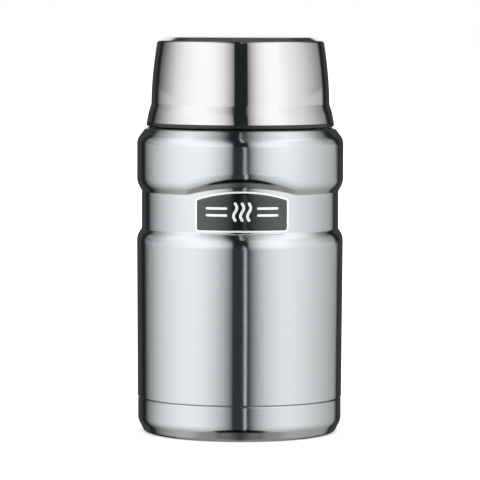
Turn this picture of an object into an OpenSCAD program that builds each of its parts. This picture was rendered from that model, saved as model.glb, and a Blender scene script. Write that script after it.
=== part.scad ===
// Insulated food jar: a vacuum-walled steel jar with a screw stopper, and a steel serving cup
// that screws down over the stopper.  The jar stands on the XY plane, its axis is +Z and its
// badge faces -Y.  Heights are measured up from the table.

/* [Jar outside] */
// Diameter of the upper band and of the top of the lower body
body_d = 104; // [102:0.5:110]
// How much narrower the lower body is just above the base seam than at its top
body_taper = 1; // [0.4:0.1:3]
// Radial depth of the waist between the band and the lower body
waist_depth = 2.4; // [1.8:0.1:3]
// Height of the seam between the body and the base cap
seam_z = 17.9; // [16:0.1:20]
// Height of the waist's lower edge
waist_low_z = 103.2; // [98:0.1:106]
// Height of the waist
waist_h = 18.8; // [17:0.1:22]
// Height over which the lower body's rounded top runs in to the waist
lower_slope_h = 3.3; // [2.8:0.1:4]
// Height over which the lower body draws in gently just below that slope
ease_h = 3.4; // [3:0.1:5]
// Height over which the band's lower edge runs in to the waist
band_slope_h = 4.7; // [3.5:0.1:5.5]
// Height of the flat ledge that the cup comes down to
ledge_z = 153.7; // [153:0.1:156]
// Height of the sloping shoulder below the ledge
shoulder_h = 6; // [5:0.1:7.5]
// Thickness of the outer steel sheet
steel_t = 0.5; // [0.45:0.05:0.7]

/* [Arch over the badge] */
// Rise of the arch above the waist's upper edge
arch_rise = 3.1; // [2:0.1:4]
// Width of the arch where it leaves the waist's upper edge
arch_w = 53.4; // [50:0.1:56]

/* [Neck and vessel] */
// Inside diameter of the mouth
mouth_d = 69.2; // [66:0.2:70]
// Inside diameter of the vessel below the mouth
vessel_d = 82; // [76:0.5:88]
// Height of the vessel's inside floor
vessel_floor_z = 20; // [19:0.5:26]
// Bend radius between the vessel's wall and its floor
vessel_corner_r = 8; // [6:0.5:10]
// Thickness of the vessel's steel sheet
vessel_t = 0.4; // [0.35:0.05:0.6]
// Free gap between the two walls of the neck
neck_gap = 2.5; // [2:0.1:2.8]
// Height of the lip above the ledge
neck_h = 18.3; // [18:0.1:21]

/* [Screw threads] */
// Rise of a thread in one turn
lead = 8; // [7:0.5:9]
// Number of thread starts
starts = 2; // [1:1:2]
// Height of a ridge above its wall
ridge_h = 1; // [0.8:0.05:1.1]
// Width of a ridge at its wall
ridge_base_w = 1.8; // [1.5:0.1:2]
// Width of a ridge at its crest
ridge_crest_w = 0.8; // [0.6:0.1:1]
// Radial gap between a ridge's crest and the facing wall
ridge_gap = 0.4; // [0.35:0.05:0.5]
// Axial gap between the loaded flanks of two ridges
flank_gap = 0.25; // [0.15:0.05:0.3]
// Turns of the neck's ridges
neck_turns = 1.2; // [1:0.05:1.25]
// Turns of the stopper's inner ridges
stopper_turns = 0.7; // [0.5:0.05:0.9]
// Turns of the ridges that hold the cup
cup_turns = 0.6; // [0.4:0.05:0.7]

/* [Stopper] */
// Thickness of the stopper's skirt behind its outer ridges
skirt_t = 1.9; // [1.7:0.1:2.2]
// Depth of the plug below the lip
plug_depth = 14; // [10:0.5:16]
// Thickness of the plug's wall and floor
plug_t = 1.6; // [1.2:0.1:2]
// Radial gap between the plug and the mouth
plug_gap = 0.6; // [0.4:0.1:0.8]
// Thickness of the seal that rests on the lip
seal_t = 2; // [1.6:0.1:2.4]
// Thickness of the stopper above its seal
stopper_cap_h = 2.8; // [2.4:0.1:3.4]
// Number of grip flutes round the stopper's top
flutes = 30; // [20:1:40]
// Depth of a grip flute
flute_depth = 0.5; // [0.3:0.05:0.7]
// Thickness of the cover over the stopper's foam
cover_t = 1.6; // [1.4:0.1:2]
// Diameter of the shallow dish in the stopper's cover
cover_dish_d = 54; // [40:1:60]

/* [Cup] */
// Height of the cup from its rim ring to its top
cup_h = 45; // [44:0.5:50]
// Thickness of the cup's polished steel
cup_t = 0.5; // [0.4:0.05:0.7]
// Thickness of the plastic bowl inside the cup
liner_t = 1.3; // [1.1:0.1:1.4]
// Gap between the plastic bowl and the steel at the cup's narrow waist
liner_gap = 0.4; // [0.3:0.05:0.7]
// How far the cup flares out from its narrow waist to its rim
flare = 2.25; // [2.1:0.05:2.6]
// Height of the cup's flare
flare_h = 9.2; // [8.8:0.1:11]
// How far the cup draws in from its narrow waist to its top corner
draw_in = 3; // [2:0.1:3.5]
// Diameter of the flat on the cup's top
cup_flat_d = 74; // [66:1:76]
// Height of the sloping edge round the cup's top
cup_edge_h = 2.3; // [1.5:0.1:2.5]
// Air gap above the bowl's floor
bowl_air_h = 3.6; // [3:0.1:5]
// Height of the soft rim ring
ring_h = 2; // [1.8:0.1:2.4]

/* [Base] */
// Height of the sloping foot of the base cap
foot_slope_h = 6.3; // [5.5:0.1:7]
// How far the sloping foot runs in
foot_slope_run = 2.9; // [2:0.1:3.5]
// Width of the ring that the jar stands on
stand_w = 4.4; // [3.5:0.1:6]
// Depth of the recess under the jar
under_recess = 1.6; // [1:0.1:2]
// Thickness of the vacuum envelope's bottom
bottom_t = 0.6; // [0.5:0.05:0.9]
// Height of the vacuum envelope's bottom
bottom_z = 6.2; // [5:0.1:7]
// Diameter of the getter pill
getter_d = 8; // [6:0.5:10]

/* [Badge] */
// Gap between the badge and each end of the arch
badge_side_gap = 3.7; // [2:0.1:6]
// Gap between the badge and the waist's lower edge
badge_low_gap = 0.4; // [0.4:0.1:2]
// Gap between the badge's middle and the arch
badge_high_gap = 1.3; // [1:0.1:4]
// Rise of the badge's arched top
badge_rise = 3.9; // [3:0.1:5]
// Corner radius of the badge
badge_corner_r = 2; // [1.6:0.1:3.5]
// Width of the badge's bright rim
badge_rim_w = 0.9; // [0.7:0.05:1.4]
// Thickness of the badge's plate inside its rim
badge_t = 0.4; // [0.3:0.05:0.6]
// Depth of the dark inlay in the badge
inlay_t = 0.25; // [0.2:0.05:0.4]

/* [Hidden] */
$fn = 96;
fit = 0.1;            // gap between pieces of one body that are fitted together
weld = 0.05;          // gap between pieces that are welded or glued together
turn_gap = 0.3;       // gap between curved faces that turn against each other
embed = 0.3;          // how deep a ridge's root lies in its wall
arc_steps = 6;        // straight steps in each bend
ridge_step = 6;       // degrees between two sections of a ridge
run_out = 18;         // degrees over which a ridge rises at its ends
run_in = 3;           // degrees of that rise that its blunt ends leave out

// Jar outside
body_r = body_d / 2;
foot_r = body_r - body_taper / 2;
waist_r = body_r - waist_depth;
waist_high_z = waist_low_z + waist_h;
shoulder_z = ledge_z - shoulder_h;
lip_z = ledge_z + neck_h;
cap_step = 0.2;                                  // the base cap steps in under the seam
cap_r = foot_r - cap_step;
skirt_r = cap_r - steel_t - fit;                 // the body's skirt inside the base cap
foot_low_bend_r = 2;
foot_high_bend_r = 12;
foot_bend_h = foot_high_bend_r * tan(atan(foot_slope_run / foot_slope_h) / 2);
skirt_z = foot_slope_h + foot_bend_h;            // lower end of that skirt
seam_gap = 0.25;
skirt_bend_r = 0.2;
seam_bend_r = 0.3;
ease_in = 0.2;                                   // how far the lower body draws in gently
ease_share = 0.34;                               // share of that height taken up by its first bend
lower_share = 0.64;                              // and by the bend above it
band_bend_r = 10;
shoulder_bend_r = 7;
waist_bend_r = 1.2;
ledge_bend_r = 3;
neck_bend_r = 1.2;
cut = 1;                                         // how far a cutting shape reaches past

// Neck, from the mouth outwards
mouth_r = mouth_d / 2;
neck_r = mouth_r + vessel_t + neck_gap + steel_t;
lip_mid_r = (mouth_r + neck_r) / 2;
lip_bend_r = 1;
vessel_r = vessel_d / 2;
vessel_neck_drop = 1;                            // the vessel's neck starts this far below the ledge
vessel_shoulder_h = 6;                           // height of the vessel's sloping shoulder
vessel_neck_z = ledge_z - vessel_neck_drop;
vessel_shoulder_z = vessel_neck_z - vessel_shoulder_h;
vessel_bottom_h = 12;
vessel_joint_z = vessel_floor_z + vessel_bottom_h;   // weld between the vessel's wall and bottom

// Screw threads: ridges of the outer part lie just under those of the inner part
ridge_slope = (ridge_base_w - ridge_crest_w) / 2 / ridge_h;
ridge_touch = ridge_base_w - ridge_slope * (ridge_h + ridge_gap);
ridge_drop = ridge_touch + flank_gap;

// Stopper, from the neck outwards
skirt_in_r = neck_r + ridge_h + ridge_gap;
skirt_out_r = skirt_in_r + skirt_t;
skirt_lift = 0.6;                                // gap between the stopper's skirt and the ledge
skirt_low_z = ledge_z + skirt_lift;
neck_thread_z = skirt_low_z + 2 + ridge_base_w / 2 + ridge_drop;
neck_thread_top_z = neck_thread_z + lead * neck_turns + ridge_base_w / 2;
seal_z = lip_z + weld;
ceiling_z = seal_z + seal_t + fit;
stopper_top_z = ceiling_z + stopper_cap_h;
grip_r = skirt_out_r - ridge_h - fit;
plug_r = mouth_r - plug_gap;
plug_low_z = lip_z - plug_depth;
foam_r = plug_r - plug_t;
cover_step = 3.6;                                // width of the step that the cover rests on
cover_r = foam_r + cover_step;

// Cup, from the stopper outwards
liner_in_r = skirt_out_r + ridge_h + ridge_gap;
liner_out_r = liner_in_r + liner_t;
cup_waist_r = liner_out_r + liner_gap + cup_t;
cup_rim_r = cup_waist_r + flare;
cup_corner_r = cup_waist_r - draw_in;
ring_z = ledge_z + 0.3;
cup_top_z = ring_z + cup_h;
shell_low_z = ring_z + ring_h + fit;
cup_waist_z = shell_low_z + flare_h;
cup_thread_z = shell_low_z + 0.3 + ridge_base_w / 2 + ridge_drop;
grip_z = cup_thread_z + lead * cup_turns + ridge_base_w / 2 + 1.7;
liner_floor_z = cup_top_z - cup_t - bowl_air_h - liner_t;
flange_h = 2.8;                                  // flange of the bowl, with the groove in it
tongue_w = 0.6;
tongue_h = 1.6;
tongue_r = liner_out_r + 0.7;                    // middle of the rim ring's tongue
ledge_r = cup_rim_r + 0.4;

// Badge, built outwards from the waist
pad_t = 0.15;
badge_w = arch_w - 2 * badge_side_gap;
badge_h = waist_h + arch_rise - badge_low_gap - badge_high_gap;
badge_low_z = waist_low_z + badge_low_gap;
badge_in_r = waist_r + pad_t + 2 * weld;
badge_rim_h = inlay_t + 0.15;                    // height of the rim above the plate

// ---- Outlines -------------------------------------------------------------------------------

function unit(v) = v / norm(v);
function turn(a, b, c) = (b.x - a.x) * (c.y - b.y) - (b.y - a.y) * (c.x - b.x);
function left_of(v) = [-v.y, v.x];

// The arc that rounds corner b of the path a-b-c
function bend(a, b, c, r) =
    let (u = unit(a - b), v = unit(c - b), half = acos(u * v) / 2,
        o = b + unit(u + v) * r / sin(half),
        p = b + u * r / tan(half), q = b + v * r / tan(half),
        from = atan2(p.y - o.y, p.x - o.x),
        sweep = (180 - 2 * half) * sign(turn(a, b, c)))
    [for (i = [0:arc_steps]) o + r * [cos(from + sweep * i / arc_steps), sin(from + sweep * i / arc_steps)]];

// The bend radius at corner b that takes up the given share of the shorter leg beside it
function long_bend(a, b, c, share) =
    let (half = acos(unit(a - b) * unit(c - b)) / 2)
    share * min(norm(a - b), norm(c - b)) * tan(half);

// A path with its inner corners rounded; radii has one value for each point
function rounded(path, radii) = [for (i = [0:len(path) - 1])
    each (i == 0 || i == len(path) - 1 || radii[i] <= 0) ? [path[i]]
        : bend(path[i - 1], path[i], path[i + 1], radii[i])];

// The same path moved t to its left, each corner staying a corner
function moved(path, t) = [for (i = [0:len(path) - 1])
    let (last = len(path) - 1,
        d0 = unit(path[max(i, 1)] - path[max(i, 1) - 1]),
        d1 = unit(path[min(i, last - 1) + 1] - path[min(i, last - 1)]),
        n = left_of(d0) + left_of(d1))
    path[i] + n * t / (1 + d0 * d1)];

function moved_radii(path, radii, t) = [for (i = [0:len(path) - 1])
    (i == 0 || i == len(path) - 1 || radii[i] <= 0) ? 0
        : max(0, radii[i] - t * sign(turn(path[i - 1], path[i], path[i + 1])))];

function reversed(list) = [for (i = [len(list) - 1:-1:0]) list[i]];

// A wall of sheet, t thick, turned about the axis; its thickness lies to the left of the path
module sheet(path, radii, t) {
    inner = rounded(moved(path, t), moved_radii(path, radii, t));
    rotate_extrude() polygon(concat(rounded(path, radii), reversed(inner)));
}

// Everything between the axis and the path moved t to its left
module filled(path, radii, t) {
    edge = rounded(moved(path, t), moved_radii(path, radii, t));
    rotate_extrude() polygon(concat(edge, [[0, edge[len(edge) - 1].y], [0, edge[0].y]]));
}

module tube(r_in, r_out, z0, z1) {
    rotate_extrude() translate([r_in, z0]) square([r_out - r_in, z1 - z0]);
}

// A solid through a row of sections that each have the same number of points
module loft(sections) {
    n = len(sections[0]);
    last = len(sections) - 1;
    polyhedron(
        points = [for (s = sections) each s],
        faces = concat(
            [[for (j = [0:n - 1]) n - 1 - j]],
            [for (i = [0:last - 1], j = [0:n - 1]) each
                let (a = i * n + j, b = i * n + (j + 1) % n)
                [[a, b, b + n], [a, b + n, a + n]]],
            [[for (j = [0:n - 1]) last * n + j]]),
        convexity = 6);
}

// One set of screw ridges.  side is 1 on the outside of a wall and -1 on the inside of one.
module ridges(wall_r, side, z0, turns) {
    steps = ceil(turns * 360 / ridge_step);
    for (k = [0:starts - 1]) rotate(360 * k / starts) loft([for (i = [0:steps])
        let (a = turns * 360 * i / steps, z = z0 + lead * a / 360,
            rise = ridge_h * min(1, (a + run_in) / run_out, (turns * 360 - a + run_in) / run_out),
            root = wall_r - side * embed, crest = wall_r + side * rise,
            base = ridge_base_w / 2 + ridge_slope * embed, tip = ridge_base_w / 2 - ridge_slope * rise,
            section = [[root, z - base], [crest, z - tip], [crest, z + tip], [root, z + base]])
        [for (p = side > 0 ? section : reversed(section)) [p.x * cos(a), p.x * sin(a), p.y]]]);
}

// ---- Jar ------------------------------------------------------------------------------------

shell_path = [
    [skirt_r, skirt_z], [skirt_r, seam_z], [foot_r, seam_z],
    [body_r, waist_low_z - lower_slope_h - ease_h], [body_r - ease_in, waist_low_z - lower_slope_h],
    [waist_r, waist_low_z],
    [waist_r, waist_high_z], [body_r, waist_high_z + band_slope_h],
    [body_r, shoulder_z], [ledge_r, ledge_z], [neck_r, ledge_z],
    [neck_r, lip_z], [lip_mid_r, lip_z]];
shell_bends = [0, skirt_bend_r, seam_bend_r,
    long_bend(shell_path[2], shell_path[3], shell_path[4], ease_share),
    long_bend(shell_path[3], shell_path[4], shell_path[5], lower_share),
    waist_bend_r, waist_bend_r, band_bend_r, shoulder_bend_r, ledge_bend_r, neck_bend_r, lip_bend_r, 0];

// Space of the arched recess over the badge, for a wall that lies t inside the jar's outside
module arch_space(t) {
    function edge_z(x) = waist_high_z + arch_rise * (1 - pow(2 * x / arch_w, 2));
    reach = asin(arch_w / 2 / waist_r) * 1.15;  // the arch dies out a little before its ends
    steps = 32;
    lean = atan(waist_depth / band_slope_h);
    floor_r = waist_r - t;
    deep_r = floor_r - cut;
    far_r = body_r + 3 * cut;
    low_z = edge_z(waist_r * sin(reach)) - cut / tan(lean) - cut;
    difference() {
        loft([for (i = [0:steps])
            let (a = -reach + 2 * reach * i / steps,
                edge = edge_z(waist_r * sin(a)) + t * tan(lean / 2),
                section = [[deep_r, low_z], [far_r, low_z],
                    [far_r, edge + (far_r - floor_r) / tan(lean)],
                    [deep_r, edge + (deep_r - floor_r) / tan(lean)]])
            [for (p = section) [p.x * sin(a), -p.x * cos(a), p.y]]]);
        translate([0, 0, low_z - cut]) cylinder(r = floor_r, h = ledge_z - low_z);
    }
}

// Outer wall: lower body, waist, upper band, shoulder and threaded neck, drawn in one piece
module outer_shell() {
    color("silver") {
        difference() {
            difference() {
                filled(shell_path, shell_bends, 0);
                arch_space(0);
            }
            difference() {
                filled(shell_path, shell_bends, steel_t);
                arch_space(steel_t);
            }
            translate([0, 0, lip_z - steel_t - cut]) cylinder(r = lip_mid_r, h = steel_t + 2 * cut);
        }
        ridges(neck_r, 1, neck_thread_z, neck_turns);
    }
}

vessel_path = [
    [0, vessel_floor_z], [vessel_r, vessel_floor_z], [vessel_r, vessel_shoulder_z],
    [mouth_r, vessel_neck_z], [mouth_r, lip_z], [lip_mid_r, lip_z]];
vessel_shoulder_bend_r = 5;
vessel_neck_bend_r = 3;
vessel_bends = [0, vessel_corner_r, vessel_shoulder_bend_r, vessel_neck_bend_r, lip_bend_r, 0];

// Wall and neck of the inner vessel, which meets the outer wall at the lip
module inner_vessel() {
    color("lightgray") difference() {
        sheet(vessel_path, vessel_bends, -vessel_t);
        cylinder(r = body_r, h = vessel_joint_z);
    }
}

// Bottom of the inner vessel, welded to its wall
module inner_bottom() {
    color("lightgray") intersection() {
        sheet(vessel_path, vessel_bends, -vessel_t);
        cylinder(r = body_r, h = vessel_joint_z);
    }
}

// Foil wrapped round the vessel inside the vacuum
module radiation_shield() {
    foil_t = 0.15;
    foil_in_r = vessel_r + vessel_t + fit;
    low_margin = 1;                             // bare wall left below the foil
    high_margin = 4;                            // and above it
    color("peru") tube(foil_in_r, foil_in_r + foil_t,
        vessel_joint_z + low_margin, vessel_shoulder_z - high_margin);
}

getter_h = 2.2;
getter_top_z = vessel_floor_z - vessel_t - weld;
clip_t = 0.3;
clip_w = 4;

// Pill that takes up stray gas in the vacuum
module getter() {
    color("dimgray") translate([0, 0, getter_top_z - getter_h]) cylinder(d = getter_d, h = getter_h);
}

// Strap that holds the getter against the vessel
module getter_clip() {
    span = getter_d + 2 * (fit + clip_t);
    foot = 3;
    low_z = getter_top_z - getter_h - weld - clip_t;
    color("silver") {
        translate([-span / 2, -clip_w / 2, low_z]) cube([span, clip_w, clip_t]);
        for (s = [-1, 1]) {
            translate([s * (span - clip_t) / 2 - clip_t / 2, -clip_w / 2, low_z])
                cube([clip_t, clip_w, getter_top_z - low_z]);
            translate([s * (span + foot - clip_t) / 2 - foot / 2, -clip_w / 2, getter_top_z - clip_t])
                cube([foot, clip_w, clip_t]);
        }
    }
}

// ---- Base -----------------------------------------------------------------------------------

port_r = 1.2;        // hole through which the jar is evacuated
dimple_r = 7;
dimple_h = 1.2;
dimple_slope = 1.5;
bottom_lap = 4;      // height over which the bottom's edge stands inside the skirt
bottom_bend_r = 2.4;
press_bend_r = 1;    // small bends of pressed sheet

// Bottom of the vacuum envelope, welded inside the skirt of the outer wall
module outer_bottom() {
    rim_r = skirt_r - steel_t - weld;
    path = [[port_r, bottom_z + dimple_h], [dimple_r, bottom_z + dimple_h],
        [dimple_r + dimple_slope, bottom_z], [rim_r, bottom_z], [rim_r, skirt_z + bottom_lap]];
    color("silver") sheet(path, [0, press_bend_r, press_bend_r, bottom_bend_r, 0], bottom_t);
}

// Bead that closes the evacuation hole
module vacuum_seal() {
    bead_r = 3;
    bead_h = 0.7;
    color("goldenrod") {
        translate([0, 0, bottom_z + dimple_h - bead_h]) cylinder(r = bead_r, h = bead_h);
        translate([0, 0, bottom_z + dimple_h - fit]) cylinder(r = port_r - weld, h = bottom_t);
    }
}

// Pressed cap that covers the envelope's bottom and gives the jar its standing ring
module base_cap() {
    stand_r = cap_r - foot_slope_run;
    inner_r = stand_r - stand_w;
    path = [[0, under_recess], [inner_r - under_recess, under_recess], [inner_r, 0], [stand_r, 0],
        [cap_r, foot_slope_h], [cap_r, seam_z - seam_gap]];
    color("silver")
        sheet(path, [0, press_bend_r, press_bend_r, foot_low_bend_r, foot_high_bend_r, 0], steel_t);
}

// ---- Badge ----------------------------------------------------------------------------------

// Outline of the badge seen from the front, with every edge moved in by d
module badge_outline(d) {
    half_w = badge_w / 2;
    arch_r = half_w * half_w / 2 / badge_rise + badge_rise / 2;
    arch_z = badge_low_z + badge_h - arch_r;
    r = badge_corner_r - d;
    side = half_w - badge_corner_r;
    low = badge_low_z + badge_corner_r;
    high = arch_z + sqrt(pow(arch_r - badge_corner_r, 2) - side * side);
    lean = asin(side / (arch_r - badge_corner_r));
    right = concat(
        [for (i = [0:arc_steps]) [side, low] + r * [sin(90 * i / arc_steps), -cos(90 * i / arc_steps)]],
        [for (i = [0:arc_steps]) let (a = (90 - lean) * i / arc_steps)
            [side, high] + r * [cos(a), sin(a)]],
        [for (i = [1:arc_steps]) let (a = lean * (1 - i / arc_steps))
            [0, arch_z] + (arch_r - d) * [sin(a), cos(a)]]);
    polygon(concat(right, [for (i = [len(right) - 2:-1:0]) [-right[i].x, right[i].y]]));
}

// What lies inside the badge's outline between two radii, curved with the waist
module badge_layer(d, r0, r1) {
    intersection() {
        tube(r0, r1, badge_low_z - cut, badge_low_z + badge_h + cut);
        rotate([90, 0, 0]) linear_extrude(height = body_r) badge_outline(d);
    }
}

// Adhesive pad behind the badge
module badge_pad() {
    color("dimgray") badge_layer(badge_rim_w / 2, waist_r + weld, waist_r + weld + pad_t);
}

// Metal plate of the badge, with a raised rim
module badge_plate() {
    face_r = badge_in_r + badge_t;
    color("whitesmoke") difference() {
        badge_layer(0, badge_in_r, face_r + badge_rim_h);
        badge_layer(badge_rim_w, face_r, face_r + badge_rim_h + cut);
    }
}

// Dark inlay that fills the plate inside its rim
module badge_inlay() {
    face_r = badge_in_r + badge_t + weld;
    color([0.07, 0.08, 0.08]) badge_layer(badge_rim_w + weld, face_r, face_r + inlay_t);
}

// ---- Stopper --------------------------------------------------------------------------------

// Soft seal between the stopper's ceiling and the jar's lip
module stopper_gasket() {
    in_r = plug_r + turn_gap;
    out_r = neck_r - fit;
    edge = 0.4;                                 // bevel of its lower edges
    color("gainsboro") rotate_extrude() polygon([[in_r, seal_z + edge], [in_r + edge, seal_z],
        [out_r - edge, seal_z], [out_r, seal_z + edge], [out_r, seal_z + seal_t],
        [in_r, seal_z + seal_t]]);
}

// Moulded stopper: plug, ceiling and skirt, threaded inside for the neck and outside for the cup
module stopper_body() {
    neck_clear_z = neck_thread_top_z + ridge_gap;    // above it the skirt closes in on the neck
    upper_in_r = neck_r + 0.5;
    step_h = skirt_in_r - upper_in_r;
    top_edge = 0.8;                             // bevel round the top
    plug_edge = 1;                              // bevel round the plug's floor
    ring = [
        [skirt_in_r, skirt_low_z], [skirt_out_r, skirt_low_z], [skirt_out_r, grip_z],
        [grip_r, grip_z + skirt_out_r - grip_r], [grip_r, stopper_top_z - top_edge],
        [grip_r - top_edge, stopper_top_z],
        [cover_r + fit, stopper_top_z], [cover_r + fit, stopper_top_z - cover_t],
        [foam_r, stopper_top_z - cover_t], [foam_r, plug_low_z + plug_t], [0, plug_low_z + plug_t],
        [0, plug_low_z], [plug_r - plug_edge, plug_low_z], [plug_r, plug_low_z + plug_edge],
        [plug_r, ceiling_z], [upper_in_r, ceiling_z], [upper_in_r, neck_clear_z + step_h],
        [skirt_in_r, neck_clear_z]];
    flute_r = 1.6;
    flute_low_z = neck_clear_z + step_h + turn_gap;
    flute_stop = 0.6;                           // plain edge left above the flutes
    flute_top_z = stopper_top_z - top_edge - flute_stop;
    color([0.13, 0.14, 0.14]) {
        difference() {
            rotate_extrude() polygon(ring);
            for (i = [0:flutes - 1]) rotate(360 * i / flutes)
                translate([grip_r + flute_r - flute_depth, 0, flute_low_z])
                    cylinder(r = flute_r, h = flute_top_z - flute_low_z);
        }
        ridges(skirt_in_r, -1, neck_thread_z - ridge_drop, stopper_turns);
        ridges(skirt_out_r, 1, cup_thread_z, cup_turns);
    }
}

// Insulating foam inside the plug
module stopper_foam() {
    low_z = plug_low_z + plug_t + fit;
    color("white") translate([0, 0, low_z])
        cylinder(r = foam_r - fit, h = stopper_top_z - cover_t - fit - low_z);
}

// Cover that closes the foam in, with a shallow dish in its top
module stopper_cover() {
    dish_depth = cover_t / 2;
    color([0.16, 0.17, 0.17]) difference() {
        translate([0, 0, stopper_top_z - cover_t]) cylinder(r = cover_r, h = cover_t);
        translate([0, 0, stopper_top_z - dish_depth]) cylinder(
            r1 = cover_dish_d / 2 - dish_depth, r2 = cover_dish_d / 2 + dish_depth, h = 2 * dish_depth);
    }
}

// ---- Cup ------------------------------------------------------------------------------------

// Soft ring under the cup's rim, held by its tongue in a groove of the cup's bowl
module cup_rim_ring() {
    in_r = liner_in_r + 0.5;
    top_z = ring_z + ring_h;
    edge_r = ring_h * 0.45;                     // rounding of its lower outer edge
    color([0.12, 0.13, 0.13]) rotate_extrude() polygon(concat(
        [[in_r, ring_z], [cup_rim_r - edge_r, ring_z]],
        [for (i = [0:arc_steps]) let (a = -90 + 90 * i / arc_steps)
            [cup_rim_r - edge_r, ring_z + edge_r] + edge_r * [cos(a), sin(a)]],
        [[cup_rim_r, top_z], [tongue_r + tongue_w / 2, top_z],
            [tongue_r + tongue_w / 2, top_z + tongue_h], [tongue_r - tongue_w / 2, top_z + tongue_h],
            [tongue_r - tongue_w / 2, top_z], [in_r, top_z]]));
}

// Polished steel outside of the cup
module cup_shell() {
    waist_lean = 1.66;                          // lean of the wall just above its narrow waist
    flare_bend_r = 15;
    cup_waist_bend_r = 1.5;
    corner_bend_r = 1.6;
    top_bend_r = 3;
    corner = [cup_corner_r, cup_top_z - cup_edge_h];
    waist = [cup_waist_r, cup_waist_z];
    rim = [cup_rim_r, shell_low_z];
    half_h = (corner.y - waist.y) / 2;
    side = waist + half_h * [-tan(waist_lean), 1];
    flare_mid = waist + [flare * 0.58, -flare_h * 0.46];    // the flare curves outwards here
    path = [rim, flare_mid, waist, side, corner, [cup_flat_d / 2, cup_top_z], [0, cup_top_z]];
    radii = [0, flare_bend_r, cup_waist_bend_r, long_bend(waist, side, corner, 0.8),
        corner_bend_r, top_bend_r, 0];
    color("silver") sheet(path, radii, cup_t);
}

// Moulded bowl inside the cup, with the thread that grips the stopper
module cup_liner() {
    floor_r = cup_corner_r - cup_t - 2 * liner_t;
    wall_top_r = liner_in_r - 0.7;              // the straight wall leans in from here up
    lean_h = 3;
    path = [[0, liner_floor_z], [floor_r, liner_floor_z], [wall_top_r, cup_waist_z + lean_h - 1],
        [liner_in_r, cup_waist_z - 1], [liner_in_r, shell_low_z]];
    bends = [0, 4, 2, 1, 0];
    flange_r = cup_rim_r - cup_t - flange_h * flare / flare_h - fit;
    groove_w = tongue_w + 2 * turn_gap;
    color([0.15, 0.16, 0.16]) {
        difference() {
            union() {
                sheet(path, bends, liner_t);
                tube(liner_in_r + liner_t / 2, flange_r, shell_low_z, shell_low_z + flange_h);
            }
            tube(tongue_r - groove_w / 2, tongue_r + groove_w / 2,
                shell_low_z - cut, shell_low_z + tongue_h + turn_gap);
        }
        ridges(liner_in_r, -1, cup_thread_z - ridge_drop, cup_turns);
    }
}

outer_shell();
inner_vessel();
inner_bottom();
radiation_shield();
getter();
getter_clip();
outer_bottom();
vacuum_seal();
base_cap();
badge_pad();
badge_plate();
badge_inlay();
stopper_gasket();
stopper_body();
stopper_foam();
stopper_cover();
cup_rim_ring();
cup_shell();
cup_liner();
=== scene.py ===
import math

import bpy
import numpy as np
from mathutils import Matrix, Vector


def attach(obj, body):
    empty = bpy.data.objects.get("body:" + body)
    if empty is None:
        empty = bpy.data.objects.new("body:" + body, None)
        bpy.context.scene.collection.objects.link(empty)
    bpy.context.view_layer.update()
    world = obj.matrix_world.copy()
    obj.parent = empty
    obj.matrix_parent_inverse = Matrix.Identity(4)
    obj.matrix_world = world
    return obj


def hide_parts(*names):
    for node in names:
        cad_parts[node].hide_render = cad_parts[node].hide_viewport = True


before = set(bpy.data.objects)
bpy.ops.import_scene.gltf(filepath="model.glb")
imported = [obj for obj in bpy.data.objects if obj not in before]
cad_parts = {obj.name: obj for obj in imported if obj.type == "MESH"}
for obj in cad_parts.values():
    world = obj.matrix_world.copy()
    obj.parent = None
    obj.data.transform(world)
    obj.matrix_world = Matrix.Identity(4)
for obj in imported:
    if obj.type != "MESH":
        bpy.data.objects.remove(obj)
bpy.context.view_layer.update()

# ---- Sizes of the jar, in millimetres --------------------------------------------------------
# They follow the part's source.  Those marked "fitted" were moved a little to meet the photo.
MM = 0.001
FIT = 0.1                   # gap between pieces of one body that are fitted together
WELD = 0.05                 # gap between pieces that are welded or glued together
STEEL_T = 0.5

# Outer wall, from the seam over the base cap up to the lip
BODY_R = 52.0
FOOT_R = 51.5
WAIST_DEPTH = 2.4
WAIST_R = BODY_R - WAIST_DEPTH
SEAM_Z = 17.9
WAIST_LOW_Z = 102.9         # fitted
WAIST_HIGH_Z = 121.5        # fitted, beside the arch
LOWER_SLOPE_H = 3.3         # slope from the lower body in to the waist
BAND_SLOPE_H = 4.4          # fitted, slope from the waist out to the band
EASE_H = 3.4                # the lower body draws in gently over this height
EASE_IN = 0.2
EASE_SHARE = 0.34           # share of that height taken up by its first bend
LOWER_SHARE = 0.64          # and by the bend above it
ARCH_W = 53.4
ARCH_RISE = 4.1             # fitted
ARCH_EASE = 0.25            # the arch's ends melt into the level edge over about this height
LEDGE_Z = 153.7
SHOULDER_Z = LEDGE_Z - 6.0
LIP_Z = LEDGE_Z + 18.3
SKIRT_BEND_R = 0.2
SEAM_BEND_R = 0.75          # fitted
WAIST_BEND_R = 1.2
BAND_BEND_R = 10.0
SHOULDER_BEND_R = 7.0
LEDGE_BEND_R = 3.0
NECK_BEND_R = 1.2
LIP_BEND_R = 1.0

# Neck and inner vessel
MOUTH_R = 34.6
NECK_R = 38.0
LIP_MID_R = (MOUTH_R + NECK_R) / 2
VESSEL_R = 41.0
VESSEL_T = 0.4
VESSEL_JOINT_Z = 32.0       # weld between the vessel's wall and its bottom
VESSEL_NECK_Z = LEDGE_Z - 1.0
VESSEL_SHOULDER_Z = VESSEL_NECK_Z - 6.0
VESSEL_SHOULDER_BEND_R = 5.0
VESSEL_NECK_BEND_R = 3.0

# Rolled screw ridge on the neck
LEAD = 8.0
STARTS = 2
RIDGE_H = 1.0
RIDGE_BASE = 1.8
RIDGE_CREST = 0.8
RUN_OUT = 18.0              # degrees over which the ridge rises at its ends
RUN_IN = 3.0                # degrees of that rise that its blunt ends leave out
NECK_TURNS = 1.2
NECK_THREAD_Z = 158.5

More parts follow.
